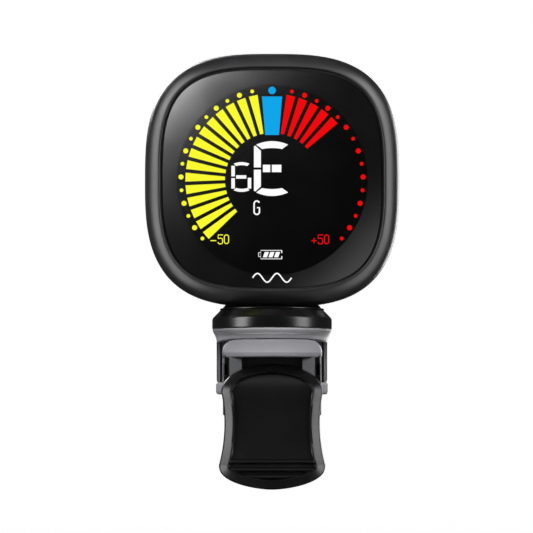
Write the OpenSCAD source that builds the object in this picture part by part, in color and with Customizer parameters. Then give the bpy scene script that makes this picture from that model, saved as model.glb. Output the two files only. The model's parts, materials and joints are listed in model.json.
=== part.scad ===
// Clip-on instrument tuner: a square display head that tilts on a hinge, turns on a
// swivel, and stands on a spring clip with silicone jaw pads.
// Millimetres. +Z is up and -Y is the display side. The origin is the middle of the
// clip's grip line, where the two jaw pads meet under the swivel's axis.

/* [Head] */
// Width of the display head
head_w = 52; // [50:0.5:56]
// Height of the display head
head_h = 51.8; // [50:0.1:54]
// Height of the head's middle above the grip line
head_mid_z = 32.65; // [32.6:0.05:40]
// Visible width of the bezel around the window
rim_w = 3.35; // [2.8:0.05:3.8]
// Roundness of the head's outline: 2 is an ellipse and larger is squarer
outline_power = 3; // [2.8:0.1:3.6]

/* [Swivel] */
// Outer radius of the swivel collar
collar_r = 12.27; // [12:0.01:12.6]
// Radius of the swivel stem in its bushing
stem_r = 3; // [2.5:0.1:3.4]

/* [Clip] */
// Half width of the clip body's back wall
body_half_w = 11.5; // [11.2:0.05:11.8]
// Height of the pivot pin's axis
pivot_z = -10; // [-10.6:0.1:-9.6]
// Radius of the pivot pin
pin_r = 1; // [0.8:0.05:1.1]
// Lowest point of the thumb lever
lever_bottom_z = -30.35; // [-32:0.05:-30]

/* [Controls] */
// Radius of each push button
button_r = 2.6; // [2.2:0.1:3]
// Travel of each push button
button_travel = 0.3; // [0.2:0.05:0.35]

/* [Hidden] */
$fn = 64;

// Running clearance between round parts that turn
running = 0.04;
// Gap between parts that only sit beside each other
gap = 0.1;

// Head: depths along Y, from the display side to the back
bezel_front_y = -8;
window_y = -7.2;
window_t = 1;
crown_base_y = -6.2;
parting_y = -1.5;
back_y = 3.5;
wall_t = 1.5;
outline_points = 64;
// Squircle insets of the back cover's rounded edge and flat back
back_inset = 5;
// LCD stack
lcd_side = 41;
lcd_corner_r = 22.7;
holder_t = 1.1;
tape_t = 0.18;
tape_hole_r = 20.3;
lcd_y = window_y + window_t + 0.2;
lcd_t = 1.8;
guide_y = lcd_y + lcd_t + gap;
guide_t = 1.1;
board_y = -2.5;
board_t = 1;
board_back_y = board_y + board_t;
strip_h = 2.4;
strip_half_w = 9.5;
// Screws through the back cover, at the four corners
screw_at = 17.8;
screw_r = 0.85;
screw_head_r = 1.5;
boss_r = 1.8;
boss_front_y = -6.1;
screw_seat_y = 0.4;
screw_head_t = 0.9;
// Contact microphone on the cover's inside
piezo_x = -11.6;
piezo_z = head_mid_z - 14.4;
piezo_r = 4.2;
piezo_y = 1.55;
piezo_lead_r = 0.25;
// Battery pouch behind the board, and the foam that holds it off the cover
battery_half_w = 12.5;
battery_low_z = head_mid_z - 1.8;
battery_high_z = head_mid_z + 10.7;
battery_back_y = 1.55;
battery_lead_r = 0.35;
foam_margin = 1.5;
// Chips on the board's back: x, height from the head's middle, width, height and thickness
chips = [
  [-12, 12.2, 7, 6, 0.9],
  [10, 14.2, 4, 3, 0.8],
  [-17, 5.2, 2.5, 2, 0.7],
  [13.5, -10.8, 2.5, 1.5, 0.6]
];
// Backlight lamps along the guide's top edge
led_xs = [-8, 0, 8];
led_half_w = 1.2;
led_h = 1.2;
// Buttons
button_x = 8;
button_z = head_mid_z - 6.8;
button_proud = 0.7;
button_flange_w = 0.6;
switch_side = 3.6;
switch_top_y = 0.5;
button_front_y = switch_top_y + button_travel + gap;
// Charging socket
usb_x = 17.6;
usb_len = 7.2;
usb_y = 0.1;
usb_half_w = 4.4;
usb_half_t = 1.55;
// Tilt hinge behind the head
tilt_y = 8.2;
tilt_z = head_mid_z - 18.45;
tilt_pin_r = 1.1;
knuckle_r = 3;
knuckle_half_w = 4;
washer_t = 0.4;
lug_t = 2.4;
lug_in_x = knuckle_half_w + washer_t + 0.05;
lug_out_x = lug_in_x + lug_t;
base_t = 1.1;
bracket_screw_x = 3.5;
bracket_screw_z = tilt_z + 6.6;

// Swivel heights
collar_bottom_z = 2.2;
collar_shoulder_z = 4.4;
collar_top_z = 6.1;
collar_edge_r = 1;
disc_top_z = 6.45;
disc_r = 10.7;
// The turntable's raised half, behind the head
shoulder_front_y = 2.25;
shoulder_top_z = 7.7;
shoulder_top_r = 9.45;
boss_top_z = 5.2;
stem_bottom_z = 1.78;
bush_t = 0.8;
boss_t = 2.4;
recess_r = 5.2;

// Clip body
arm_bottom_z = 1;
arm_r = 10.9;
wall_in_y = 8.6;
wall_out_y = 10.9;
wall_inner_r = 4;
wall_outer_r = 6;
waist_z = -10.4;
pad_t = 1;
pad_face_z = 0.1;
pad_hole_r = 4.6;
pad_back_half_w = 10.75;
bead_half_w = 11.6;
bead_top_z = -8.4;
bead_bottom_z = -10.95;
bead_t = 1.5;
pivot_y = 3.5;
ear_in_x = 7.1;
ear_out_x = 8.6;
ear_r = 2.6;
grip_rear_z = -27.4;
grip_half_w = 9.3;
grip_rib_zs = [-21.5, -23.5, -25.5];
grip_rib_half_w = 6;
grip_rib_r = 0.6;

// Lower jaw and its pad
jaw_half_w = 9.9;
cheek_in_x = 8.8;
tip_r = 13.4;
tip_y = -12;
flat_tip_y = -9.7;
jaw_rear_y = -2;
jaw_top_z = -1.2;
jaw_bottom_z = -3.2;
pad_half_w = 10.17;
nose_z = -2.73;
lip_z = -3.95;
web_front_y = -8.1;
web_back_y = -6.6;
strap_in_x = 6.1;
strap_out_x = 8.7;
strap_t = 0.9;
strap_end_z = -8.6;

// Thumb lever outline, seen from the front
dome_z = -10.8;
dome_top_z = -4.95;
lever_waist_z = -17.2;
lever_waist_half_w = 9.59;
flare_half_w = 10.66;
flare_z = -25.43;
plate_t = 2;
rim_face_w = 1.85;
dish_depth = 0.8;
rib_zs = [-24.3, -25.9, -27.3];
rib_t = 0.9;

// Torsion spring
spring_wire_r = 0.45;
spring_r = 2.2;
spring_turns = 6;
spring_pitch = 1.15;
rear_leg = 11.5;
front_leg = 14.6;
rear_leg_turn = 19.3;
front_leg_turn = 123;

// ---- shared shapes ----

function sgn_pow(v, p) = sign(v) * pow(abs(v), p);

// A squircle's outline moved inwards by inset, as [x, z] points about its middle.
function squircle(inset) = [
  for (i = [0 : outline_points - 1])
    let (t = 360 * (i + 0.5) / outline_points,
         a = head_w / 2, b = head_h / 2, q = 2 / outline_power,
         x = sgn_pow(cos(t), q), z = sgn_pow(sin(t), q),
         n = [sgn_pow(x, outline_power - 1) / a, sgn_pow(z, outline_power - 1) / b])
      [a * x, b * z] - inset * n / norm(n)
];

// One ring of a shell in 3-D: [inset, y] becomes the outline at that depth.
function ring(at) = [for (p = squircle(at[0])) [p[0], at[1], p[1] + head_mid_z]];

// Triangles between ring j and the next one, wrapping where closed.
function band(j, next) = [
  for (i = [0 : outline_points - 1])
    let (k = (i + 1) % outline_points, n = outline_points)
      each [[j * n + i, next * n + i, j * n + k], [j * n + k, next * n + i, next * n + k]]
];

// A solid from the profile's rings, capped at its first and last ring.
module cup(profile) {
  last = len(profile) - 1;
  n = outline_points;
  polyhedron(
    points = [for (at = profile) each ring(at)],
    faces = concat(
      [for (j = [0 : last - 1]) each band(j, j + 1)],
      [[for (i = [0 : n - 1]) i], [for (i = [n - 1 : -1 : 0]) last * n + i]]));
}

// A solid hoop whose section is the closed profile.
module hoop(profile) {
  m = len(profile);
  polyhedron(
    points = [for (at = profile) each ring(at)],
    faces = [for (j = [0 : m - 1]) each band(j, (j + 1) % m)]);
}

// A flat plate with the head's outline, from y0 to y1.
module slab(inset, y0, y1) {
  translate([0, y1, head_mid_z]) rotate([90, 0, 0])
    linear_extrude(y1 - y0) polygon(squircle(inset));
}

// A box given by its two corners.
module block(low, high) translate(low) cube(high - low);

// A cylinder along X between two x values.
module rod_x(x0, x1, y, z, r)
  translate([x0, y, z]) rotate([0, 90, 0]) cylinder(r = r, h = x1 - x0);

// A cylinder along Y between two y values.
module rod_y(y0, y1, x, z, r)
  translate([x, y1, z]) rotate([90, 0, 0]) cylinder(r = r, h = y1 - y0);

// A side profile of [y, z] points, extruded along X between two x values.
module side(x0, x1) translate([x0, 0, 0]) rotate([90, 0, 90]) linear_extrude(x1 - x0) children();

// A front outline of [x, z] points, extruded along Y between two y values.
module front(y0, y1) translate([0, y1, 0]) rotate([90, 0, 0]) linear_extrude(y1 - y0) children();

// An arc's points about [cx, cy], from angle a0 to a1.
function arc(cx, cy, r, a0, a1, steps) = [
  for (i = [0 : steps]) let (a = a0 + (a1 - a0) * i / steps) [cx + r * cos(a), cy + r * sin(a)]
];

// Mirrored copies on both sides of X = 0.
module both_sides() {
  children();
  mirror([1, 0, 0]) children();
}

// The four corner screw places of the head.
module at_corners() {
  for (x = [-1, 1], z = [-1, 1]) translate([x * screw_at, 0, head_mid_z + z * screw_at]) children();
}

// ---- thumb lever outline and depth ----

// Half width of the lever's sides, narrowest at the waist.
function lever_side_w(z) =
  lever_waist_half_w
  + (flare_half_w - lever_waist_half_w) * pow((z - lever_waist_z) / (flare_z - lever_waist_z), 2);

// Half width of the lever at height z: a dome, a waist, a flare and a rounded foot.
function lever_half_w(z, inset) =
  let (top = dome_top_z - inset, foot = lever_bottom_z + inset)
  z > dome_z
  ? (lever_side_w(dome_z) - inset) * sqrt(max(0, 1 - pow((z - dome_z) / (top - dome_z), 2)))
  : z > flare_z ? lever_side_w(z) - inset
  : (flare_half_w - inset) * pow(max(0, 1 - pow((flare_z - z) / (flare_z - foot), 2.4)), 0.6);

function lever_outline(inset) =
  let (top = dome_top_z - inset, foot = lever_bottom_z + inset, steps = 28,
       zs = [for (i = [0 : steps]) (top + foot) / 2 + (top - foot) / 2 * cos(180 * i / steps)])
  concat([for (z = zs) [lever_half_w(z, inset), z]],
         [for (i = [steps - 1 : -1 : 1]) [-lever_half_w(zs[i], inset), zs[i]]]);

// Depth of the lever's front face at height z: a rolled shoulder above and a forward flare below.
function lever_front(z) =
  z > -12 ? -12.6 + 3.2 * pow((z + 12) / 7, 2) : -12.6 - 4.2 * pow((-12 - z) / 19.4, 2.2);

function lever_profile(in, out, top, bottom) =
  let (steps = 20, zs = [for (i = [0 : steps]) top + (bottom - top) * i / steps])
  concat([for (z = zs) [lever_front(z) + in, z]],
         [for (i = [steps : -1 : 0]) [lever_front(zs[i]) + out, zs[i]]]);

// ---- clip body and its fittings ----

// The clip body's side profile: top arm, rounded corner, back wall and rear grip.
function body_profile() = concat(
  [[-arm_r, arm_bottom_z]],
  arc(wall_in_y - wall_inner_r, arm_bottom_z - wall_inner_r, wall_inner_r, 90, 0, 8),
  [[wall_in_y, -14], [wall_in_y + 1.2, -20], [wall_in_y + 3.4, grip_rear_z]],
  [[wall_out_y + 3.4, grip_rear_z], [wall_out_y + 1.2, -20], [wall_out_y, -14]],
  arc(wall_out_y - wall_outer_r, collar_bottom_z - wall_outer_r, wall_outer_r, 0, 90, 10),
  [[-arm_r, collar_bottom_z]]);

module body_plan() {
  // Seen from above: a round front under the collar and a straight-sided back.
  translate([0, 0, -40]) linear_extrude(50) {
    circle(r = arm_r);
    translate([-body_half_w, 0]) square([2 * body_half_w, 20]);
  }
}

// Half width of the rear grip, which stays inside the lever's outline.
function grip_w(z) = min(lever_half_w(z - 1.2, 0.9), grip_half_w);

module rear_grip_outline() {
  // Seen from behind: the full-width wall, then the grip.
  steps = 16;
  top = waist_z + 0.5;
  zs = [for (i = [0 : steps]) top + (grip_rear_z - top) * i / steps];
  front(-20, 20) union() {
    translate([-body_half_w, waist_z]) square([2 * body_half_w, 20]);
    polygon(concat([for (z = zs) [grip_w(z), z]], [for (i = [steps : -1 : 0]) [-grip_w(zs[i]), zs[i]]]));
  }
}

module ear() {
  side(ear_in_x, ear_out_x) difference() {
    union() {
      translate([pivot_y, pivot_z]) circle(r = ear_r);
      polygon([[pivot_y, pivot_z + ear_r], [wall_in_y + 0.8, pivot_z + 3],
               [wall_in_y + 0.8, pivot_z - 3], [pivot_y, pivot_z - ear_r]]);
    }
    translate([pivot_y, pivot_z]) circle(r = pin_r);
  }
}

module clip_body() {
  color("#17171a") difference() {
    union() {
      intersection() {
        side(-body_half_w, body_half_w) polygon(body_profile());
        body_plan();
        rear_grip_outline();
      }
      translate([0, 0, arm_bottom_z])
        cylinder(r = stem_r + bush_t + boss_t, h = boss_top_z - arm_bottom_z);
      both_sides() ear();
      for (z = grip_rib_zs) side(-grip_rib_half_w, grip_rib_half_w)
        translate([wall_out_y + 2.35 - (z - grip_rib_zs[2]) * 0.28, z]) circle(r = grip_rib_r);
    }
    translate([0, 0, -1]) cylinder(r = stem_r + bush_t, h = 10);
    translate([0, 0, arm_bottom_z - 1]) cylinder(r = recess_r, h = 1.8);
  }
}

// The side profile of the pad's lining: under the arm, round the corner and down the wall.
function lining_profile() = concat(
  [[-0.3, pad_face_z], [-0.3, arm_bottom_z - 0.02]],
  arc(wall_in_y - wall_inner_r, arm_bottom_z - wall_inner_r - 0.02, wall_inner_r - 0.02, 90, 0, 8),
  [[wall_in_y - 0.02, bead_top_z - 0.2], [wall_in_y - pad_t, bead_top_z - 0.2]],
  arc(wall_in_y - wall_inner_r, arm_bottom_z - wall_inner_r, wall_inner_r - pad_t, 0, 85, 8));

// The round front of the pad, with a lip flared so that a headstock slides in.
module pad_front() {
  foot_r = -flat_tip_y;
  rotate([0, 0, 180]) rotate_extrude(angle = 180) polygon([
    [pad_hole_r, pad_face_z], [foot_r, pad_face_z], [collar_r - 0.05, collar_bottom_z - 0.25],
    [collar_r - 0.05, collar_bottom_z - 0.08], [arm_r + 0.05, collar_bottom_z - 0.08],
    [arm_r + 0.05, arm_bottom_z - 0.02], [pad_hole_r, arm_bottom_z - 0.02]]);
}

module upper_jaw_pad() {
  color("#8c8c92") union() {
    pad_front();
    difference() {
      union() {
        side(-pad_back_half_w, pad_back_half_w) polygon(lining_profile());
        // The bead at the lower end, a little wider than the body.
        block([-bead_half_w, wall_in_y - bead_t, bead_bottom_z], [bead_half_w, wall_in_y - 0.1, bead_top_z]);
      }
      // Room for the roots of the pivot ears, and for the swivel screw.
      both_sides() block([ear_in_x - 0.05, 0, -14], [ear_out_x + 0.05, wall_in_y + 1, -6.8]);
      translate([0, 0, -1]) cylinder(r = pad_hole_r, h = 4);
      block([-12, -1, -1], [12, 0, 2]);
    }
  }
}

module swivel_collar() {
  // A dished cap over the boss: a straight band, a rounded shoulder and a chamfer up to the disc.
  e = collar_edge_r;
  inner_r = stem_r + bush_t + boss_t + 0.05;
  color("#0e0e10") rotate_extrude() polygon(concat(
    [[inner_r, boss_top_z - 0.6], [disc_r, boss_top_z - 0.6], [disc_r, collar_bottom_z],
     [collar_r - 0.25, collar_bottom_z]],
    arc(collar_r - 0.25, collar_bottom_z + 0.25, 0.25, -90, 0, 4),
    arc(collar_r - e, collar_shoulder_z - 0.4, e, 0, 48, 6),
    arc(disc_r - 0.25, collar_top_z - 0.4, 0.4, 48, 90, 4),
    [[inner_r, collar_top_z]]));
}

module swivel_bushing() {
  color("#d8d4c8") difference() {
    union() {
      translate([0, 0, arm_bottom_z + 0.8])
        cylinder(r = stem_r + bush_t - 0.01, h = boss_top_z - arm_bottom_z - 0.8);
      translate([0, 0, boss_top_z]) cylinder(r = recess_r, h = collar_top_z - boss_top_z);
    }
    translate([0, 0, -1]) cylinder(r = stem_r + running, h = 12);
  }
}

module pivot_pin() {
  color("#b9bcc0") rod_x(-jaw_half_w - 0.05, jaw_half_w + 0.05, pivot_y, pivot_z, pin_r - 0.01);
}

module pin_retainers() {
  // Push-on star washers on the pin's ends, inside the lever's cheeks.
  color("#9c9fa4") both_sides() difference() {
    rod_x(6.5, 7, pivot_y, pivot_z, 1.9);
    rod_x(6, 8, pivot_y, pivot_z, pin_r);
  }
}

// Points along the spring's wire: rear leg, coils about the pin, front leg.
function spring_path() =
  let (length = spring_turns * spring_pitch, count = 14 * spring_turns,
       a0 = rear_leg_turn, a1 = front_leg_turn, total = 360 * spring_turns + a1 - a0,
       coil = [for (i = [0 : count])
         let (u = i / count, a = a0 + total * u)
           [-length / 2 + length * u, pivot_y + spring_r * cos(a), pivot_z + spring_r * sin(a)]])
  concat([coil[0] + rear_leg * [0, sin(a0), -cos(a0)]], coil,
         [coil[count] + front_leg * [0, -sin(a1), cos(a1)]]);

function spring_ring(path, i) =
  let (n = len(path), before = path[max(0, i - 1)], after = path[min(n - 1, i + 1)],
       along = (after - before) / norm(after - before), side_v = cross(along, [1, 0, 0]),
       u = side_v / norm(side_v), v = cross(along, u))
  [for (k = [0 : 7]) path[i] + spring_wire_r * (cos(45 * k) * u + sin(45 * k) * v)];

module torsion_spring() {
  path = spring_path();
  last = len(path) - 1;
  color("#a9acb2") polyhedron(
    points = [for (i = [0 : last]) each spring_ring(path, i)],
    faces = concat(
      [for (i = [0 : last - 1], k = [0 : 7]) let (m = (k + 1) % 8, a = i * 8, b = a + 8)
        each [[a + k, a + m, b + k], [a + m, b + m, b + k]]],
      [[for (k = [7 : -1 : 0]) k], [for (k = [0 : 7]) last * 8 + k]]));
}

// ---- thumb lever with the lower jaw ----

module cheek() {
  side(cheek_in_x, jaw_half_w) difference() {
    union() {
      translate([pivot_y, pivot_z]) circle(r = 2.4);
      polygon([[-5.5, jaw_top_z], [jaw_rear_y, jaw_top_z], [jaw_rear_y, jaw_bottom_z],
               [pivot_y + 1.1, pivot_z + 2.1], [pivot_y - 0.6, pivot_z - 2.3], [-11, -15.5], [-11, -9.5],
               [web_front_y, -7.5], [web_front_y, -5], [-5.5, jaw_bottom_z]]);
    }
    translate([pivot_y, pivot_z]) circle(r = pin_r + running);
  }
}

module jaw_plan(half_w, front_r, front_y, z0, z1) {
  translate([0, 0, z0]) linear_extrude(z1 - z0) intersection() {
    translate([0, front_y + front_r]) circle(r = front_r);
    translate([-half_w, -20]) square([2 * half_w, 20 + jaw_rear_y]);
  }
}

// A grip rib across the dish, left standing where the dish is cut.
module rib(z) {
  top = lever_front(z);
  side(-9, 9) polygon([[top + 0.05, z], [lever_front(z - rib_t) + 0.2, z - rib_t],
                       [top + plate_t - 0.4, z - rib_t], [top + plate_t - 0.4, z]]);
}

module thumb_lever() {
  color("#141416") difference() {
    union() {
      jaw_plan(jaw_half_w, tip_r - 1.2, tip_y + 1.2, jaw_bottom_z, jaw_top_z);
      block([-jaw_half_w, web_front_y, -9], [jaw_half_w, web_back_y, jaw_bottom_z + 0.1]);
      both_sides() cheek();
      intersection() {
        front(-25, 0) polygon(lever_outline(0));
        side(-15, 15) polygon(lever_profile(0, plate_t, dome_top_z + 1, lever_bottom_z - 1));
      }
    }
    // The dished thumb rest inside the rim.
    intersection() {
      front(-25, 0) polygon(lever_outline(rim_face_w));
      difference() {
        side(-15, 15) polygon(lever_profile(-2, dish_depth, dome_top_z, lever_bottom_z));
        for (z = rib_zs) rib(z);
      }
    }
    // Pockets for the pad's straps.
    both_sides() block([strap_in_x - 0.05, web_front_y - strap_t - 0.05, strap_end_z - 0.1],
                       [strap_out_x + 0.05, web_front_y + 0.02, jaw_bottom_z]);
  }
}

module lower_jaw_pad() {
  // A cap over the jaw's tip, with two straps down into the lever.
  color("#9a9aa0") difference() {
    union() {
      intersection() {
        jaw_plan(pad_half_w, tip_r, tip_y, lip_z, 0);
        // The upper front edge slopes down and out, to lead a headstock in.
        side(-12, 12) polygon([
          [jaw_rear_y + 1, -pad_face_z], [flat_tip_y, -pad_face_z], [tip_y - 0.5, nose_z],
          [tip_y - 0.5, lip_z - 1], [jaw_rear_y + 1, lip_z - 1]]);
      }
      both_sides() block([strap_in_x, web_front_y - strap_t, strap_end_z],
                         [strap_out_x, web_front_y, lip_z + 0.1]);
    }
    jaw_plan(jaw_half_w + 0.01, tip_r - 1.19, tip_y + 1.19, jaw_bottom_z - 0.01, jaw_top_z + 0.01);
    block([-12, web_front_y, lip_z - 1], [12, 3, jaw_bottom_z + 0.1]);
  }
}

// ---- swivel and tilt hinge ----

module turntable() {
  color("#101012") difference() {
    union() {
      rotate_extrude() polygon([
        [0, collar_top_z + 0.05], [disc_r - 0.1, collar_top_z + 0.05], [disc_r, collar_top_z + 0.15],
        [disc_r, disc_top_z - 0.1], [disc_r - 0.1, disc_top_z], [0, disc_top_z]]);
      // A raised half-moon behind the head.
      difference() {
        translate([0, 0, disc_top_z - 0.1])
          cylinder(r1 = disc_r - 0.1, r2 = shoulder_top_r, h = shoulder_top_z - disc_top_z + 0.1);
        block([-12, -12, 6], [12, shoulder_front_y, 9]);
      }
      translate([0, 0, stem_bottom_z]) cylinder(r = stem_r, h = disc_top_z - 0.2 - stem_bottom_z);
      // The knuckle rises behind the head.
      side(-knuckle_half_w, knuckle_half_w) union() {
        translate([tilt_y, tilt_z]) circle(r = knuckle_r);
        polygon([[4.6, disc_top_z - 0.2], [tilt_y - knuckle_r, tilt_z - 1], [tilt_y + knuckle_r, tilt_z],
                 [tilt_y + 1.2, disc_top_z - 0.2]]);
      }
    }
    cylinder(r = 1, h = collar_top_z);
    rod_x(-6, 6, tilt_y, tilt_z, tilt_pin_r + running);
  }
}

module swivel_washer() {
  color("#b4b7bb") translate([0, 0, 1.45]) difference() {
    cylinder(r = 4.4, h = 0.3);
    translate([0, 0, -1]) cylinder(r = 1.1, h = 3);
  }
}

module swivel_screw() {
  color("#8d9096") difference() {
    union() {
      translate([0, 0, 1.44 - 0.9]) cylinder(r = 2.6, h = 0.9);
      translate([0, 0, 1.4]) cylinder(r = 0.98, h = collar_top_z - 1.8);
    }
    block([-1.5, -0.3, 0], [1.5, 0.3, 1]);
    block([-0.3, -1.5, 0], [0.3, 1.5, 1]);
  }
}

module hinge_bracket() {
  // Two lugs on a base plate fixed to the head's back.
  color("#141416") difference() {
    union() {
      block([-lug_out_x, back_y + 0.02, tilt_z - 2.2], [lug_out_x, back_y + base_t, tilt_z + 9]);
      both_sides() side(lug_in_x, lug_out_x) union() {
        translate([tilt_y, tilt_z]) circle(r = knuckle_r);
        polygon([[back_y + 0.6, tilt_z - 2.2], [tilt_y, tilt_z - knuckle_r], [tilt_y + 2, tilt_z + 2.2],
                 [back_y + 0.6, tilt_z + 7]]);
      }
    }
    rod_x(-12, 12, tilt_y, tilt_z, tilt_pin_r + running);
    both_sides() rod_y(0, 10, bracket_screw_x, bracket_screw_z, screw_r + 0.03);
  }
}

module tilt_pin() {
  color("#b9bcc0") union() {
    rod_x(-lug_out_x - 0.3, lug_out_x + 0.3, tilt_y, tilt_z, tilt_pin_r);
    both_sides() rod_x(lug_out_x + 0.05, lug_out_x + 0.75, tilt_y, tilt_z, 1.9);
  }
}

module tilt_washers() {
  color("#c9c6bd") both_sides() difference() {
    rod_x(knuckle_half_w + 0.025, knuckle_half_w + 0.025 + washer_t, tilt_y, tilt_z, 2.6);
    rod_x(0, 12, tilt_y, tilt_z, tilt_pin_r + running);
  }
}

// ---- head ----

module front_bezel() {
  mid = rim_w / 2;
  crown = [for (i = [0 : 8]) let (a = 180 - 180 * i / 8)
    [mid + (mid - 0.15) * cos(a), crown_base_y + (bezel_front_y - crown_base_y) * sin(a)]];
  color("#1d1d1f") union() {
    hoop(concat([[wall_t, -5.4], [wall_t, parting_y], [0, parting_y], [0, -5]], crown, [[rim_w, -5.9]]));
    for (x = [-1, 1], z = [-1, 1])
      translate([x * screw_at, 0, head_mid_z + z * screw_at]) rotate([0, -atan2(z, x), 0])
        block([1, -5.6, -0.5], [3.4, parting_y - 0.3, 0.5]);
    at_corners() difference() {
      rod_y(boss_front_y, parting_y, 0, 0, boss_r);
      rod_y(boss_front_y - 1, 0, 0, 0, screw_r + 0.02);
    }
  }
}

module display_window() color("#050506") slab(rim_w + gap, window_y, window_y + window_t);

// Holds the display stack against the window's back.
module window_tape() {
  color("#2a2a2c") difference() {
    lcd_plate(window_y + window_t + 0.01, window_y + window_t + 0.01 + tape_t, lcd_side + 2 * holder_t, 0.5);
    rod_y(-10, 0, 0, head_mid_z, tape_hole_r);
  }
}

// A square plate with its corners cut round, from y0 to y1.
module lcd_plate(y0, y1, side_len, grow_r) {
  translate([0, y1, head_mid_z]) rotate([90, 0, 0]) linear_extrude(y1 - y0) intersection() {
    square(side_len, center = true);
    circle(r = lcd_corner_r + grow_r);
  }
}

module lcd_panel() color("#0a0a0c") lcd_plate(lcd_y, lcd_y + lcd_t, lcd_side, 0);

module lcd_holder() {
  color("#e6e6e2") difference() {
    lcd_plate(lcd_y, board_y - gap, lcd_side + 2 * holder_t, 0.5);
    lcd_plate(lcd_y - 1, board_y, lcd_side + 0.2, 0.1);
  }
}

module light_guide() {
  color("#eef0f0") difference() {
    lcd_plate(guide_y, guide_y + guide_t, lcd_side, 0);
    block([-30, -10, head_mid_z - 30], [30, 0, head_mid_z - lcd_side / 2 + strip_h + 0.4]);
    for (x = led_xs) block([x - led_half_w - gap, -10, head_mid_z + lcd_side / 2 - 0.8 - led_h],
                           [x + led_half_w + gap, 0, 80]);
  }
}

module backlight_leds() {
  top = head_mid_z + lcd_side / 2 - 0.6;
  color("#f6f1cf") for (x = led_xs)
    block([x - led_half_w, guide_y, top - led_h], [x + led_half_w, board_y, top]);
}

module zebra_strip() {
  low = head_mid_z - lcd_side / 2;
  color("#c8708c") block([-strip_half_w, lcd_y + lcd_t, low + 0.2], [strip_half_w, board_y, low + strip_h]);
}

module main_board() color("#1f5a34") lcd_plate(board_y, board_back_y, lcd_side + 1, 0.4);

module board_chips() {
  color("#26262a") for (c = chips)
    translate([c[0], board_back_y, head_mid_z + c[1]]) cube([c[2], c[4], c[3]]);
}

module tact_switches() {
  color("#c9cacc") both_sides() union() {
    block([button_x - switch_side / 2, board_back_y, button_z - switch_side / 2],
          [button_x + switch_side / 2, switch_top_y - 0.4, button_z + switch_side / 2]);
    rod_y(switch_top_y - 0.5, switch_top_y, button_x, button_z, 0.9);
  }
}

module usb_socket() {
  // A reversible charging socket on the board's edge, its mouth in the side of the cover.
  color("#c2c4c8") difference() {
    usb_shell(0);
    translate([0.6, 0, 0]) usb_shell(-0.3);
    translate([8, 0, 0]) usb_shell(-0.3);
  }
}

module usb_shell(grow) {
  translate([usb_x, usb_y, head_mid_z]) rotate([90, 0, 90]) linear_extrude(usb_len) usb_outline(grow);
}

module usb_outline(grow) {
  r = usb_half_t + grow;
  flat = usb_half_w - usb_half_t;
  union() {
    translate([0, -flat]) circle(r = r);
    translate([0, flat]) circle(r = r);
    translate([-r, -flat]) square([2 * r, 2 * flat]);
  }
}

module battery_cell() {
  color("#b8bcc2") block([-battery_half_w, board_back_y + gap, battery_low_z],
                         [battery_half_w, battery_back_y, battery_high_z]);
}

module battery_foam() {
  m = foam_margin;
  color("#2c2c2e") block([m - battery_half_w, battery_back_y + 0.01, battery_low_z + m],
                         [battery_half_w - m, back_y - wall_t - 0.02, battery_high_z - m]);
}

// A straight round lead between two points.
module lead(start, end, r) {
  d = end - start;
  turn = [0, acos(d[2] / norm(d)), atan2(d[1], d[0])];
  translate(start) rotate(turn) cylinder(r = r, h = norm(d), $fn = 16);
}

module battery_leads() {
  color("#b03030") for (x = [-2, 2])
    lead([x, 0, battery_high_z + 0.1], [x * 1.4, board_back_y + 0.3, battery_high_z + 3.5], battery_lead_r);
}

module piezo_disc() color("#c9a24a") rod_y(piezo_y, back_y - wall_t - 0.02, piezo_x, piezo_z, piezo_r);

module piezo_leads() {
  color("#8a2a2a") for (x = [-1, 1])
    lead([piezo_x + x, piezo_y - 0.3, piezo_z + 1], [piezo_x + 1.5 * x, board_back_y + 0.3, piezo_z - 1.5],
         piezo_lead_r);
}

module rear_cover() {
  edge_y = parting_y + 0.6;
  lip_y = parting_y + 0.02;
  outer = concat(
    [for (i = [0 : 6]) let (a = 90 * i / 6) [back_inset * (1 - sin(a)), edge_y + (back_y - edge_y) * cos(a)]],
    [[0, lip_y], [wall_t, lip_y]]);
  inner = [for (i = [0 : 4]) let (a = 90 * i / 4)
    [wall_t + (back_inset - 0.6) * (1 - cos(a)), edge_y + (back_y - wall_t - edge_y) * sin(a)]];
  color("#18181a") difference() {
    union() {
      cup(concat(outer, inner));
      at_corners() rod_y(lip_y, 1.9, 0, 0, boss_r + 0.5);
    }
    at_corners() union() {
      rod_y(-5, 10, 0, 0, screw_r + 0.05);
      rod_y(screw_seat_y, 10, 0, 0, screw_head_r + 0.1);
    }
    both_sides() rod_y(0, 10, button_x, button_z, button_r + 0.15);
    both_sides() rod_y(0, 10, bracket_screw_x, bracket_screw_z, screw_r + 0.03);
    translate([2, 0, 0]) usb_shell(0.15);
  }
}

module cover_screws() {
  color("#6e7176") at_corners() difference() {
    union() {
      rod_y(screw_seat_y - 5.4, screw_seat_y + 0.1, 0, 0, screw_r);
      rod_y(screw_seat_y + 0.01, screw_seat_y + screw_head_t, 0, 0, screw_head_r);
    }
    block([-0.9, screw_seat_y + 0.45, -0.2], [0.9, 5, 0.2]);
    block([-0.2, screw_seat_y + 0.45, -0.9], [0.2, 5, 0.9]);
  }
}

module bracket_screws() {
  // Screwed from inside the cover into the hinge bracket.
  color("#6e7176") both_sides() union() {
    rod_y(1.3, 1.98, bracket_screw_x, bracket_screw_z, 1.4);
    rod_y(1.5, back_y + 1, bracket_screw_x, bracket_screw_z, screw_r);
  }
}

module button_at(x) {
  rod_y(button_front_y, back_y + button_proud, x, button_z, button_r);
  rod_y(button_front_y, 1.6, x, button_z, button_r + button_flange_w);
}

module power_button() color("#2a2a2d") button_at(-button_x);
module mode_button() color("#2a2a2d") button_at(button_x);

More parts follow.
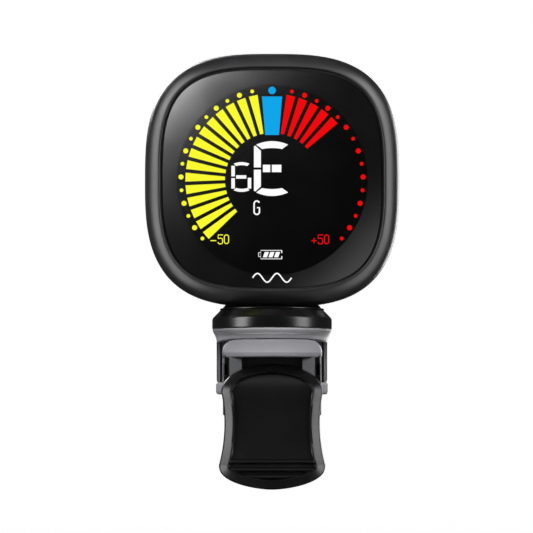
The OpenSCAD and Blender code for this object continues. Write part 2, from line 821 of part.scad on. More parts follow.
clip_body();
upper_jaw_pad();
swivel_collar();
swivel_bushing();
pivot_pin();
pin_retainers();
torsion_spring();
thumb_lever();
lower_jaw_pad();
turntable();
swivel_washer();
swivel_screw();
hinge_bracket();
tilt_pin();
tilt_washers();
front_bezel();
display_window();
window_tape();
lcd_panel();
lcd_holder();
light_guide();
backlight_leds();
zebra_strip();
main_board();
board_chips();
tact_switches();
usb_socket();
battery_cell();
battery_foam();
battery_leads();
piezo_disc();
piezo_leads();
rear_cover();
cover_screws();
bracket_screws();
power_button();
mode_button();
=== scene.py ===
"""Looks for the clip-on tuner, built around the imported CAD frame."""
import json
import math

import bpy
import bmesh
import numpy as np
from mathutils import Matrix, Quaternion, Vector


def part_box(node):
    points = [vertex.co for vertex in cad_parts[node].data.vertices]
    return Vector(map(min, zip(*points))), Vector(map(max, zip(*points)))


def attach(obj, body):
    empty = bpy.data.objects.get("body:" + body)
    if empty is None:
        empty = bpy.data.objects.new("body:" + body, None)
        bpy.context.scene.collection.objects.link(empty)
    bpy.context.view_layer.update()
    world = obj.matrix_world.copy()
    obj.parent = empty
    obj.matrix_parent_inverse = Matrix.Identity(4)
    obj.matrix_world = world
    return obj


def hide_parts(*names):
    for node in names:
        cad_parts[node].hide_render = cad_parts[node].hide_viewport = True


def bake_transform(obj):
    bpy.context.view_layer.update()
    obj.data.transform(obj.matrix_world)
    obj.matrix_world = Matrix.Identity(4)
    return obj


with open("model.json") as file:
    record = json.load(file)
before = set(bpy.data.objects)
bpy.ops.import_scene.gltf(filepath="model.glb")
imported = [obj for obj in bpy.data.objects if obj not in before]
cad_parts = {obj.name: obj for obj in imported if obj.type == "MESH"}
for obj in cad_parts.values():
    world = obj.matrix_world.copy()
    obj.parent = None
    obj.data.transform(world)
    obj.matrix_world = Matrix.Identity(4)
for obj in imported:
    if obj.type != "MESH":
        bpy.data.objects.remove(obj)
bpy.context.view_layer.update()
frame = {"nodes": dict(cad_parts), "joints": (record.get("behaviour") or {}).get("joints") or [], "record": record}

MM = 0.001


# ---------------------------------------------------------------- sizes read from the frame

def box_mm(node):
    """A node's lowest and highest corners in millimetres."""
    low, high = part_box(node)
    return np.array(low) / MM, np.array(high) / MM


BEZEL_LOW, BEZEL_HIGH = box_mm("front_bezel")
COVER_HIGH = box_mm("rear_cover")[1]
WINDOW_LOW, WINDOW_HIGH = box_mm("display_window")
COLLAR_LOW, COLLAR_HIGH = box_mm("swivel_collar")
LEVER_LOW = box_mm("thumb_lever")[0]
PAD_HIGH = box_mm("lower_jaw_pad")[1]
UPPER_LOW = box_mm("upper_jaw_pad")[0]
BODY_HIGH = box_mm("clip_body")[1]
BRACKET_HIGH = box_mm("hinge_bracket")[1]
BUTTON_LOW, BUTTON_HIGH = box_mm("mode_button")
SOCKET_LOW, SOCKET_HIGH = box_mm("usb_socket")
SCREWS_LOW, SCREWS_HIGH = box_mm("cover_screws")
JOINTS = {joint["name"]: joint for joint in frame["joints"]}
TILT_AXIS = np.array(JOINTS["tilt"]["pos_m"]) / MM
PIVOT_AXIS = np.array(JOINTS["lever_pivot"]["pos_m"]) / MM
HEAD_HALF_W = BEZEL_HIGH[0]
HEAD_HALF_H = (BEZEL_HIGH[2] - BEZEL_LOW[2]) / 2
HEAD_MID_Z = (BEZEL_HIGH[2] + BEZEL_LOW[2]) / 2
OUTLINE_POWER = 3.0
OUTLINE_STEPS = 256


# ---------------------------------------------------------------- mesh helpers

def add_object(name, mesh, material, smooth_angle):
    """Links a mesh as a piece, smooth-shaded below the given edge angle."""
    piece = bpy.data.objects.new(name, mesh)
    bpy.context.scene.collection.objects.link(piece)
    if material:
        mesh.materials.clear()
        mesh.materials.append(material)
    mesh.shade_smooth()
    mesh.set_sharp_from_angle(angle=math.radians(smooth_angle))
    return piece


def make_mesh(name, points_mm, faces):
    """A mesh with outward normals from points in millimetres."""
    mesh = bpy.data.meshes.new(name)
    mesh.from_pydata([tuple(np.array(p) * MM) for p in points_mm], [], [tuple(f) for f in faces])
    work = bmesh.new()
    work.from_mesh(mesh)
    bmesh.ops.remove_doubles(work, verts=work.verts, dist=1e-7)
    bmesh.ops.recalc_face_normals(work, faces=work.faces)
    work.to_mesh(mesh)
    work.free()
    return mesh


def loft(name, rings, material, closed=False, smooth_angle=35.0):
    """A skin over rings of points: closed joins the last ring to the first, else both ends are capped."""
    rings = np.array(rings, float)
    count, around = rings.shape[:2]
    points = [p for ring in rings for p in ring]
    faces = []
    last = count if closed else count - 1
    for j in range(last):
        n = (j + 1) % count
        for i in range(around):
            k = (i + 1) % around
            faces.append((j * around + i, j * around + k, n * around + k, n * around + i))
    if not closed:
        faces.append(tuple(range(around)))
        faces.append(tuple((count - 1) * around + i for i in range(around)))
    return add_object(name, make_mesh(name, points, faces), material, smooth_angle)


def lathe(name, profile, material, steps, closed=False, axis="z", centre=(0, 0, 0), smooth_angle=35.0):
    """Turns a profile of (radius, height) points about an axis through centre."""
    rings = []
    for r, h in profile:
        ring = []
        for i in range(steps):
            a = 2 * math.pi * i / steps
            u, v = r * math.cos(a), r * math.sin(a)
            p = {"z": (u, v, h), "y": (u, h, v), "x": (h, u, v)}[axis]
            ring.append(np.array(p) + np.array(centre))
        rings.append(ring)
    return loft(name, rings, material, closed=closed, smooth_angle=smooth_angle)


def prism(name, outline, low, high, axis, material, edge=0.0, segments=3):
    """Extrudes an outline along an axis; outline points are the other two coordinates in order."""
    def place(p, at):
        return {"x": (at, p[0], p[1]), "y": (p[0], at, p[1]), "z": (p[0], p[1], at)}[axis]
    count = len(outline)
    points = [place(p, low) for p in outline] + [place(p, high) for p in outline]
    faces = [tuple(range(count)), tuple(range(count, 2 * count))]
    faces += [(i, (i + 1) % count, count + (i + 1) % count, count + i) for i in range(count)]
    piece = add_object(name, make_mesh(name, points, faces), material, 35.0)
    if edge:
        round_edges(piece, edge, segments)
    return piece


def round_edges(piece, width, segments):
    """Rounds a piece's sharp edges with a bevel modifier."""
    bevel = piece.modifiers.new("rounded_edges", "BEVEL")
    bevel.width = width * MM
    bevel.segments = segments
    bevel.limit_method = "ANGLE"
    bevel.angle_limit = math.radians(30.0)
    bevel.use_clamp_overlap = True


def apply_modifiers(piece):
    """Bakes a piece's modifiers into its mesh."""
    graph = bpy.context.evaluated_depsgraph_get()
    mesh = bpy.data.meshes.new_from_object(piece.evaluated_get(graph), depsgraph=graph)
    piece.modifiers.clear()
    piece.data = mesh


def cut(piece, cutter):
    """Takes a cutter's volume out of a piece, and throws the cutter away."""
    tool = piece.modifiers.new("cut", "BOOLEAN")
    tool.operation = "DIFFERENCE"
    tool.solver = "EXACT"
    tool.object = cutter
    apply_modifiers(piece)
    bpy.data.objects.remove(cutter)


def join(name, pieces):
    """Joins pieces into one object, keeping their materials, with modifiers applied first."""
    work = bmesh.new()
    materials = []
    for piece in pieces:
        apply_modifiers(piece)
        start = len(work.faces)
        slot_of = {}
        for i, m in enumerate(piece.data.materials):
            if m not in materials:
                materials.append(m)
            slot_of[i] = materials.index(m)
        work.from_mesh(piece.data)
        work.faces.ensure_lookup_table()
        for f in work.faces[start:]:
            f.material_index = slot_of.get(f.material_index, 0)
        bpy.data.objects.remove(piece)
    mesh = bpy.data.meshes.new(name)
    work.to_mesh(mesh)
    work.free()
    joined = bpy.data.objects.new(name, mesh)
    for m in materials:
        mesh.materials.append(m)
    bpy.context.scene.collection.objects.link(joined)
    return joined


def settle(piece, body, slot, *nodes):
    """Rides a piece on its body and hides the CAD nodes that it stands for; the slot is not used."""
    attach(piece, body)
    if nodes:
        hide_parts(*nodes)
    return piece


def arc(cx, cy, r, start, end, steps):
    """Points on an arc, angles in degrees."""
    return [(cx + r * math.cos(math.radians(start + (end - start) * i / steps)),
             cy + r * math.sin(math.radians(start + (end - start) * i / steps))) for i in range(steps + 1)]


def squircle(inset):
    """The head's outline moved inwards, as (x, z) points about its middle."""
    out = []
    for i in range(OUTLINE_STEPS):
        t = 2 * math.pi * (i + 0.5) / OUTLINE_STEPS
        q = 2 / OUTLINE_POWER
        x = math.copysign(abs(math.cos(t)) ** q, math.cos(t))
        z = math.copysign(abs(math.sin(t)) ** q, math.sin(t))
        n = np.array([math.copysign(abs(x) ** (OUTLINE_POWER - 1), x) / HEAD_HALF_W,
                      math.copysign(abs(z) ** (OUTLINE_POWER - 1), z) / HEAD_HALF_H])
        out.append(np.array([x * HEAD_HALF_W, z * HEAD_HALF_H]) - inset * n / np.linalg.norm(n))
    return out


def head_ring(inset, y):
    """One ring of the head's skin, at a depth along Y."""
    return [(p[0], y, p[1] + HEAD_MID_Z) for p in squircle(inset)]


# ---------------------------------------------------------------- materials

def node_material(name):
    """A new material with its Principled shader and output."""
    material = bpy.data.materials.new(name)
    material.use_nodes = True
    nodes, links = material.node_tree.nodes, material.node_tree.links
    nodes.clear()
    output = nodes.new("ShaderNodeOutputMaterial")
    shader = nodes.new("ShaderNodeBsdfPrincipled")
    links.new(shader.outputs["BSDF"], output.inputs["Surface"])
    return material, nodes, links, shader


def noise(nodes, links, scale, detail, stretch=(1, 1, 1)):
    """Noise over object coordinates: scale is in waves per metre."""
    coords = nodes.new("ShaderNodeTexCoord")
    mapping = nodes.new("ShaderNodeMapping")
    mapping.inputs["Scale"].default_value = stretch
    texture = nodes.new("ShaderNodeTexNoise")
    texture.inputs["Scale"].default_value = scale
    texture.inputs["Detail"].default_value = detail
    links.new(coords.outputs["Object"], mapping.inputs["Vector"])
    links.new(mapping.outputs["Vector"], texture.inputs["Vector"])
    return texture.outputs["Fac"]


def spread(nodes, links, value, low, high):
    """Maps a 0 to 1 value onto low to high."""
    remap = nodes.new("ShaderNodeMapRange")
    remap.inputs["From Min"].default_value = 0.3
    remap.inputs["From Max"].default_value = 0.7
    remap.inputs["To Min"].default_value = low
    remap.inputs["To Max"].default_value = high
    links.new(value, remap.inputs["Value"])
    return remap.outputs["Result"]


def mix_colour(nodes, links, value, low, high):
    """Mixes two colours by a noise value."""
    ramp = nodes.new("ShaderNodeValToRGB")
    ramp.color_ramp.elements[0].position = 0.3
    ramp.color_ramp.elements[0].color = (*low, 1)
    ramp.color_ramp.elements[1].position = 0.7
    ramp.color_ramp.elements[1].color = (*high, 1)
    links.new(value, ramp.inputs["Fac"])
    return ramp.outputs["Color"]


def bump(nodes, links, shader, value, strength, distance_mm):
    """Adds bump from a value, with its height in millimetres."""
    node = nodes.new("ShaderNodeBump")
    node.inputs["Strength"].default_value = strength
    node.inputs["Distance"].default_value = distance_mm * MM
    links.new(value, node.inputs["Height"])
    links.new(node.outputs["Normal"], shader.inputs["Normal"])


def plastic(name, colour, roughness, grain=0.25, grain_scale=9000.0, specular=0.5, vary=0.25):
    """Moulded plastic: a fine spark-eroded grain, with slow variation in colour and gloss."""
    material, nodes, links, shader = node_material(name)
    slow = noise(nodes, links, 90.0, 3.0)
    fine = noise(nodes, links, grain_scale, 2.0)
    dark = tuple(c * (1 - vary) for c in colour)
    light = tuple(c * (1 + vary) for c in colour)
    links.new(mix_colour(nodes, links, slow, dark, light), shader.inputs["Base Color"])
    links.new(spread(nodes, links, slow, roughness * 0.88, roughness * 1.12), shader.inputs["Roughness"])
    shader.inputs["Specular IOR Level"].default_value = specular
    if grain:
        bump(nodes, links, shader, fine, grain, 0.01)
    return material


def metal(name, colour, roughness, stretch=(1, 1, 1), scale=4000.0):
    """Metal with drawn or brushed streaks."""
    material, nodes, links, shader = node_material(name)
    streaks = noise(nodes, links, scale, 3.0, stretch)
    shader.inputs["Metallic"].default_value = 1.0
    dark = tuple(c * 0.85 for c in colour)
    links.new(mix_colour(nodes, links, streaks, dark, colour), shader.inputs["Base Color"])
    links.new(spread(nodes, links, streaks, roughness * 0.7, roughness * 1.3), shader.inputs["Roughness"])
    bump(nodes, links, shader, streaks, 0.2, 0.004)
    return material


def silicone(name, colour, roughness):
    """Soft translucent rubber with a faint mould texture and dust."""
    material, nodes, links, shader = node_material(name)
    slow = noise(nodes, links, 160.0, 4.0)
    fine = noise(nodes, links, 6000.0, 3.0)
    dark = tuple(c * 0.95 for c in colour)
    light = tuple(min(1.0, c * 1.04) for c in colour)
    links.new(mix_colour(nodes, links, slow, dark, light), shader.inputs["Base Color"])
    links.new(spread(nodes, links, slow, roughness * 0.9, roughness * 1.15), shader.inputs["Roughness"])
    shader.inputs["Subsurface Weight"].default_value = 0.5
    shader.inputs["Subsurface Radius"].default_value = (1.0, 1.0, 1.05)
    shader.inputs["Subsurface Scale"].default_value = 1.2 * MM
    shader.inputs["Specular IOR Level"].default_value = 0.4
    bump(nodes, links, shader, fine, 0.15, 0.01)
    return material


def glowing(name, colour, strength):
    """A lit display segment under the window's gloss."""
    material, nodes, links, shader = node_material(name)
    cells = noise(nodes, links, 2500.0, 2.0)
    dark = tuple(c * 0.97 for c in colour)
    links.new(mix_colour(nodes, links, cells, dark, colour), shader.inputs["Emission Color"])
    shader.inputs["Base Color"].default_value = (*[c * 0.02 for c in colour], 1)
    shader.inputs["Emission Strength"].default_value = strength
    shader.inputs["Roughness"].default_value = 0.25
    shader.inputs["Specular IOR Level"].default_value = 0.05
    return material


BLACK_BODY = plastic("black_body_plastic", (0.011, 0.011, 0.013), 0.42)
BLACK_LEVER = plastic("black_lever_plastic", (0.003, 0.003, 0.0036), 0.36, grain=0.2)
RIM_BLACK = plastic("bezel_satin_black", (0.012, 0.012, 0.013), 0.38, grain=0.15, grain_scale=12000.0)
COLLAR_BLACK = plastic("collar_gloss_black", (0.005, 0.005, 0.0055), 0.26, grain=0.1)
WINDOW_BLACK = plastic("window_acrylic", (0.002, 0.002, 0.002), 0.13, grain=0.0, vary=0.1)
DISPLAY_BLACK = plastic("display_face", (0.001, 0.001, 0.001), 0.13, grain=0.0, specular=0.3, vary=0.1)
GREY_SILICONE = silicone("grey_silicone", (0.27, 0.265, 0.285), 0.42)
# Painted light: the skirt is the pads' grey silicone painted about three times lighter, standing in for light on
# its downward-facing slope.
SKIRT_SILICONE_PAINTED_LIGHT = silicone("painted_light_silicone", (0.78, 0.775, 0.81), 0.42)
# Painted shade: the straps are the pads' grey silicone painted much darker, standing in for the shadow under the
# pad.
STRAP_SILICONE_PAINTED_SHADE = silicone("painted_shade_strap_silicone", (0.08, 0.08, 0.087), 0.42)
# Painted light: the feet are the bead's grey silicone painted lighter, where the thin silicone shows bright.
FEET_SILICONE_PAINTED_LIGHT = silicone("painted_light_feet_silicone", (0.44, 0.44, 0.46), 0.40)
BUTTON_BLACK = plastic("button_plastic", (0.02, 0.02, 0.022), 0.38)
STEEL = metal("zinc_steel", (0.62, 0.63, 0.65), 0.28, stretch=(0.1, 1, 1))
SPRING_STEEL = metal("music_wire", (0.42, 0.43, 0.45), 0.34)
SCREW_BLACK = metal("black_oxide_screw", (0.10, 0.10, 0.105), 0.38)
MARK_YELLOW = glowing("mark_yellow", (0.95, 0.95, 0.03), 1.0)
MARK_RED = glowing("mark_red", (0.85, 0.003, 0.004), 1.0)
MARK_BLUE = glowing("mark_blue", (0.005, 0.38, 0.81), 1.0)
MARK_WHITE = glowing("mark_white", (1.0, 1.0, 1.0), 1.0)

NODE_MATERIALS = {
    "black_plastic": BLACK_BODY,
    "gloss_black": COLLAR_BLACK,
    "silicone_grey": GREY_SILICONE,
    "steel": STEEL,
    "spring_steel": SPRING_STEEL,
    "screw_black": SCREW_BLACK,
    "button_black": BUTTON_BLACK,
    "acetal": plastic("acetal", (0.78, 0.76, 0.70), 0.4, grain=0.1, vary=0.05),
    "lcd_black": DISPLAY_BLACK,
    "tape_black": plastic("foam_tape", (0.02, 0.02, 0.02), 0.8, grain=0.6, grain_scale=3000.0),
    "white_plastic": plastic("white_holder", (0.78, 0.78, 0.75), 0.45, vary=0.04),
    "clear_acrylic": plastic("light_guide_acrylic", (0.86, 0.88, 0.88), 0.12, grain=0.0, vary=0.03),
    "led_white": plastic("led_phosphor", (0.85, 0.8, 0.45), 0.4, vary=0.08),
    "elastomer_pink": plastic("zebra_elastomer", (0.6, 0.22, 0.32), 0.6, vary=0.15),
    "board_green": plastic("solder_mask", (0.02, 0.16, 0.06), 0.3, grain=0.3, grain_scale=1500.0),
    "chip_black": plastic("chip_epoxy", (0.02, 0.02, 0.022), 0.55),
    "switch_metal": metal("tinned_can", (0.6, 0.61, 0.62), 0.35),
    "port_steel": metal("socket_steel", (0.6, 0.61, 0.63), 0.25, stretch=(0.15, 1, 1)),
    "battery_foil": metal("pouch_foil", (0.66, 0.68, 0.71), 0.4, scale=900.0),
    "foam_black": plastic("black_foam", (0.02, 0.02, 0.02), 0.9, grain=0.8, grain_scale=2500.0),
    "wire_red": plastic("wire_insulation", (0.45, 0.03, 0.03), 0.45, vary=0.1),
    "piezo_brass": metal("piezo_brass", (0.72, 0.52, 0.22), 0.32, scale=1500.0),
}

for part in frame["record"]["subparts"]:
    node = frame["nodes"][part["node"]]
    node.data.materials.clear()
    node.data.materials.append(NODE_MATERIALS[part["material_slot"]])


# ---------------------------------------------------------------- the head

PARTING_Y = BEZEL_HIGH[1]
BEZEL_FRONT = BEZEL_LOW[1]
BACK_Y = COVER_HIGH[1]
WINDOW_FACE = WINDOW_LOW[1]
RIM_W = HEAD_HALF_W - WINDOW_HIGH[0] - 0.1
WALL = 1.5
FLANGE = 0.6


def make_bezel():
    """The front frame: a sloping outer face, a crown near its inner edge, and a step to the window."""
    tilt_insets, tilts = (0.14, 0.5, 1.0, 1.5, 2.7, 3.0), (76, 60, 47, 37, 23, 0)
    insets = np.linspace(tilt_insets[0], tilt_insets[-1], 34)
    grades = np.tan(np.radians(np.interp(insets, tilt_insets, tilts)))
    drops = (grades[1:] + grades[:-1]) / 2 * np.diff(insets)
    depths = BEZEL_FRONT + np.append(np.cumsum(drops[::-1])[::-1], 0)
    crown = [(0.0, -2.6), (0.0, -4.2), (0.02, -4.7), (0.07, depths[0] + 0.4)] + list(zip(insets, depths))
    crown += [(3.08, -7.98), (3.15, -7.92), (3.19, -7.8), (3.21, -7.6), (3.23, -7.2), (RIM_W, -6.7)]
    outer = [(0.16, PARTING_Y - 0.03), (0.02, PARTING_Y - 0.17)] + crown
    inner = [(RIM_W, -5.95), (WALL + 0.3, -5.45), (WALL, -5.2), (WALL, PARTING_Y - 0.03)]
    rings = [head_ring(inset, y) for inset, y in outer + inner]
    bezel = loft("bezel_frame", rings, RIM_BLACK, closed=True, smooth_angle=40)
    return settle(bezel, "head", "gloss_black", "front_bezel")


def make_window():
    """The window: a flat acrylic plate with a steep bevel down to the frame."""
    edge = HEAD_HALF_W - WINDOW_HIGH[0]
    drop = [(edge, WINDOW_HIGH[1]), (edge, WINDOW_FACE + 0.5)]
    drop += [(inset, WINDOW_FACE) for inset in (edge + 0.28, 6, 10)]
    window = loft("window_plate", [head_ring(i, y) for i, y in drop], WINDOW_BLACK, smooth_angle=25)
    return settle(window, "head", "gloss_black", "display_window")


def make_gasket():
    """The black sealing bead in the groove between the frame and the window."""
    edge = HEAD_HALF_W - WINDOW_HIGH[0]
    front, back = WINDOW_FACE + 0.2, WINDOW_FACE + 0.45
    section = [(RIM_W - 0.1, front), (edge + 0.16, front), (edge + 0.02, back), (RIM_W - 0.04, back)]
    rings = [head_ring(inset, y) for inset, y in section]
    bead = loft("window_gasket", rings, NODE_MATERIALS["tape_black"], closed=True)
    return settle(bead, "head", "tape_black")


DISC_R = 19.7
DISC_X, DISC_Z = 0.0, HEAD_MID_Z - 0.25
MARK_SCALE = 0.988
DISC_FACE = WINDOW_FACE - 0.006
MARK_FACE = WINDOW_FACE - 0.02
MARK_BACK = WINDOW_FACE + 0.02


def flat_shapes(name, outlines, material, y_front=MARK_FACE):
    """Thin flat marks from (x, z) outlines about the display's middle."""
    points, faces = [], []
    for outline in outlines:
        start, count = len(points), len(outline)
        placed = [(DISC_X + MARK_SCALE * x, DISC_Z + MARK_SCALE * z) for x, z in outline]
        points += [(x, y_front, z) for x, z in placed]
        points += [(x, MARK_BACK, z) for x, z in placed]
        faces.append(tuple(range(start, start + count)))
        faces.append(tuple(range(start + count, start + 2 * count)))
        for i in range(count):
            k = (i + 1) % count
            faces.append((start + i, start + k, start + count + k, start + count + i))
    piece = add_object(name, make_mesh(name, points, faces), material, 20)
    return settle(piece, "head", "lcd_black")


def polar(r, degrees_from_up):
    """A point on the gauge's face, at an angle clockwise from its top."""
    a = math.radians(degrees_from_up)
    return (r * math.sin(a), r * math.cos(a))


def rect(x0, z0, x1, z1):
    """A rectangle's outline from two opposite corners."""
    return [(x0, z0), (x1, z0), (x1, z1), (x0, z1)]


def circle(x, z, r, steps=28):
    """A circle's outline."""
    return [(x + r * math.cos(2 * math.pi * i / steps), z + r * math.sin(2 * math.pi * i / steps))
            for i in range(steps)]


def band(points, width, closed=False):
    """A stroke of constant width along a line of points."""
    pts = [np.array(p, float) for p in points]
    count = len(pts)
    left, right = [], []
    for i in range(count):
        before = pts[(i - 1) % count] if closed or i else pts[i]
        after = pts[(i + 1) % count] if closed or i < count - 1 else pts[i]
        d = (after - before) / np.linalg.norm(after - before)
        side = np.array([-d[1], d[0]]) * width / 2
        left.append(tuple(pts[i] + side))
        right.append(tuple(pts[i] - side))
    if closed:
        return [[left[i], left[(i + 1) % count], right[(i + 1) % count], right[i]] for i in range(count)]
    return [left + right[::-1]]


FLAT_MARKS, SHARP_LIT = 15, 5
BAR_IN, BAR_OUT = 9.7, 17.85
BAR_HALF_DEG, BAR_TAPER = 2.95, 0.72
FIRST_BAR, BAR_STEP = 12.6, 8.4
DOT_RING = 18.75


def make_gauge():
    """The tuning gauge: fifteen flat bars, a centre bar, the lit sharp bars, and a ring of dots."""
    def bar(side, k):
        centre = side * (FIRST_BAR + BAR_STEP * k)
        return [polar(BAR_IN, centre - BAR_HALF_DEG * BAR_TAPER), polar(BAR_OUT, centre - BAR_HALF_DEG),
                polar(BAR_OUT, centre + BAR_HALF_DEG), polar(BAR_IN, centre + BAR_HALF_DEG * BAR_TAPER)]

    def dot(side, k):
        x, z = polar(DOT_RING, side * (FIRST_BAR + BAR_STEP * k))
        return circle(x, z, 0.53 if k % 2 else 0.39)

    disc = flat_shapes("display_disc", [circle(0, 0, DISC_R, 160)], DISPLAY_BLACK, DISC_FACE)
    flat_shapes("marks_flat_bars", [bar(-1, k) for k in range(FLAT_MARKS)], MARK_YELLOW)
    flat_shapes("marks_sharp_bars", [bar(1, k) for k in range(SHARP_LIT)], MARK_RED)
    flat_shapes("marks_flat_dots", [dot(-1, k) for k in range(FLAT_MARKS)], MARK_YELLOW)
    flat_shapes("marks_sharp_dots", [dot(1, k) for k in range(FLAT_MARKS)], MARK_RED)
    centre = [(-1.43, 9.27), (1.43, 9.27), (2.08, 17.25), (-2.08, 17.25)]
    flat_shapes("marks_in_tune", [centre, circle(0, 18.5, 0.78)], MARK_BLUE)
    return disc


def bow(x0, x1, z_side, z_mid):
    """A shallow arc from side to side, highest or lowest in its middle."""
    mid, half = (x0 + x1) / 2, (x1 - x0) / 2
    return [(x, z_mid + (z_side - z_mid) * ((x - mid) / half) ** 2) for x in np.linspace(x0, x1, 14)]


def make_note():
    """The big note letter, its small string number, and the small mode letter."""
    note_fold, six_fold = 4.66, 1.17
    top = bow(-3.28, 3.31, 7.27, 8.0) + bow(2.07, -2.06, 6.36, 6.57)
    lower = [(x, note_fold - z) for x, z in top]
    upper_left = [(-3.73, 6.94), (-3.42, 7.05), (-2.30, 6.0), (-2.30, 2.57), (-3.73, 2.57)]
    lower_left = [(x, note_fold - z) for x, z in upper_left]
    mids = [rect(-1.88, 1.59, -0.38, 3.11), rect(-0.04, 1.59, 1.91, 3.11)]
    six_top = bow(-7.9, -4.65, 3.33, 3.66) + bow(-5.1, -7.4, 2.85, 3.03)
    six_low = [(x, six_fold - z) for x, z in six_top]
    six = [six_top, six_low, rect(-8.38, 0.72, -7.66, 2.9), rect(-8.38, -1.8, -7.66, 0.34),
           rect(-7.4, 0.24, -5.3, 0.94), rect(-5.0, -1.8, -4.29, 0.42)]
    x0, x1, z0, z1 = -3.7, -2.6, -7.04, -4.47
    letter = arc(x0 + 0.55, z1 - 0.45, 0.55, 20, 180, 8) + arc(x0 + 0.55, z0 + 0.45, 0.55, 180, 360, 10)
    letter += [(x1, -5.75), (x1 - 0.5, -5.75)]
    note = [top, lower, upper_left, lower_left] + mids
    flat_shapes("marks_note", note + six + band(letter, 0.3), MARK_WHITE)


def digit_five(x0, z0, w, h, t):
    """A five in strokes of width t, from its lower left corner, width and height."""
    mid, r = z0 + h * 0.58, 0.36
    right, left = x0 + w - t / 2 - 0.35, x0 + t / 2 + 0.35
    path = [(x0 + w, z0 + h - t / 2), (x0 + t / 2, z0 + h - t / 2), (x0 + t / 2, mid)]
    bowl = [(x0 + t / 2, mid), (x0 + w * 0.55, mid + 0.06)] + arc(right, mid - 0.32, r, 80, 0, 5)
    bowl += arc(right, z0 + 0.40, r, 0, -90, 5) + arc(left, z0 + 0.40, r, -90, -180, 5)
    return band(path, t) + band(bowl, t)


def digit_zero(x0, z0, w, h, t):
    """A nought in strokes of width t, from its lower left corner, width and height."""
    r, x = w / 2 - t / 2, x0 + w / 2
    loop = arc(x, z0 + h - t / 2 - r, r, 0, 180, 9) + arc(x, z0 + t / 2 + r, r, 180, 360, 9)
    return band(loop, t, closed=True)


def make_scale_ends():
    """The plain scale-end numbers and the battery symbol."""
    z0, w, h, t = -13.26, 1.1, 2.0, 0.2
    minus = [rect(-12.66, -12.65, -11.47, -12.45)]
    minus += digit_five(-11.18, z0, w, h, t) + digit_zero(-9.93, z0, w, h, t)
    flat_shapes("marks_minus_fifty", minus, MARK_YELLOW)
    plus = [rect(8.1, -12.65, 9.15, -12.45), rect(8.53, -13.08, 8.73, -12.02)]
    plus += digit_five(9.39, z0, w, h, t) + digit_zero(10.66, z0, w, h, t)
    flat_shapes("marks_plus_fifty", plus, MARK_RED)
    x0, x1, z1, z2, line = -2.32, 2.02, -16.3, -14.56, 0.13
    box = band([(x1, z2), (x0, z2), (x0, z1), (x1, z1)], line)
    box += [rect(x1 - line, z2 - 0.55, x1 + line / 2, z2), rect(x1 - line, z1, x1 + line / 2, z1 + 0.55)]
    nub = band([(x0, -15.0), (x0 - 0.45, -15.0), (x0 - 0.45, -15.86), (x0, -15.86)], line)
    bars = [[(x, -15.98), (x + 0.85, -15.98), (x + 1.25, -14.88), (x + 0.4, -14.88)]
            for x in (-1.9, -0.75, 0.4)]
    wave = [(x, -20.2 + 0.9 * math.sin(math.pi * x / 2.0)) for x in np.linspace(-4, 4, 60)]
    flat_shapes("marks_battery", box + nub + bars, MARK_WHITE)
    flat_shapes("marks_wave", band(wave, 0.28), MARK_WHITE)


def make_rear_cover():
    """The back shell, with screw recesses, button holes and the socket's slot cut through."""
    shoulder = PARTING_Y + 0.6
    outer = [(5.0 * (1 - math.sin(a)), shoulder + (BACK_Y - shoulder) * math.cos(a))
             for a in np.linspace(0, math.pi / 2, 14)]
    outer = [(12.0, BACK_Y), (7.0, BACK_Y)] + outer + [(0.02, PARTING_Y + 0.17), (0.16, PARTING_Y + 0.03)]
    inner = [(WALL, PARTING_Y + 0.03)]
    inner += [(WALL + 4.4 * (1 - math.cos(a)), shoulder + (BACK_Y - WALL - shoulder) * math.sin(a))
              for a in np.linspace(0, math.pi / 2, 8)]
    inner += [(8.0, BACK_Y - WALL), (12.0, BACK_Y - WALL)]
    cover = loft("back_shell", [head_ring(i, y) for i, y in outer + inner], BLACK_BODY, smooth_angle=45)
    head_r = 1.5
    screw_x = SCREWS_HIGH[0] - head_r
    screw_z = (SCREWS_HIGH[2] - SCREWS_LOW[2]) / 2 - head_r
    for x in (-screw_x, screw_x):
        for z in (-screw_z, screw_z):
            cut(cover, lathe("recess", [(1.6, 0.4), (1.6, 1.9), (1.75, 6)], None, 48, axis="y",
                             centre=(x, 0, HEAD_MID_Z + z)))
    button_r = (BUTTON_HIGH[0] - BUTTON_LOW[0]) / 2 - FLANGE
    centre = (BUTTON_LOW + BUTTON_HIGH) / 2
    for side in (-1, 1):
        cut(cover, lathe("button_hole", [(button_r + 0.15, 0), (button_r + 0.15, BACK_Y - 0.2),
                                         (button_r + 0.5, BACK_Y + 0.2)], None, 64, axis="y",
                         centre=(side * centre[0], 0, centre[2])))
    slot_y = (SOCKET_LOW[1] + SOCKET_HIGH[1]) / 2
    half_w = (SOCKET_HIGH[2] - SOCKET_LOW[2]) / 2 + 0.15
    half_t = (SOCKET_HIGH[1] - SOCKET_LOW[1]) / 2 + 0.1
    flat = half_w - half_t
    outline = arc(slot_y, HEAD_MID_Z + flat, half_t, 0, 180, 16)
    outline += arc(slot_y, HEAD_MID_Z - flat, half_t, 180, 360, 16)
    cut(cover, prism("port_slot", outline, 20, 28, "x", None))
    cover.data.shade_smooth()
    cover.data.set_sharp_from_angle(angle=math.radians(40))
    return settle(cover, "head", "black_plastic", "rear_cover")


BEZEL = make_bezel()
WINDOW = make_window()
make_gasket()
DISPLAY = make_gauge()
make_note()
make_scale_ends()
make_rear_cover()


# ---------------------------------------------------------------- the swivel

DISC_R_OUT = 10.7
HINGE_R = 3.0
KNUCKLE_HALF, LUG_IN = 4.0, 4.45


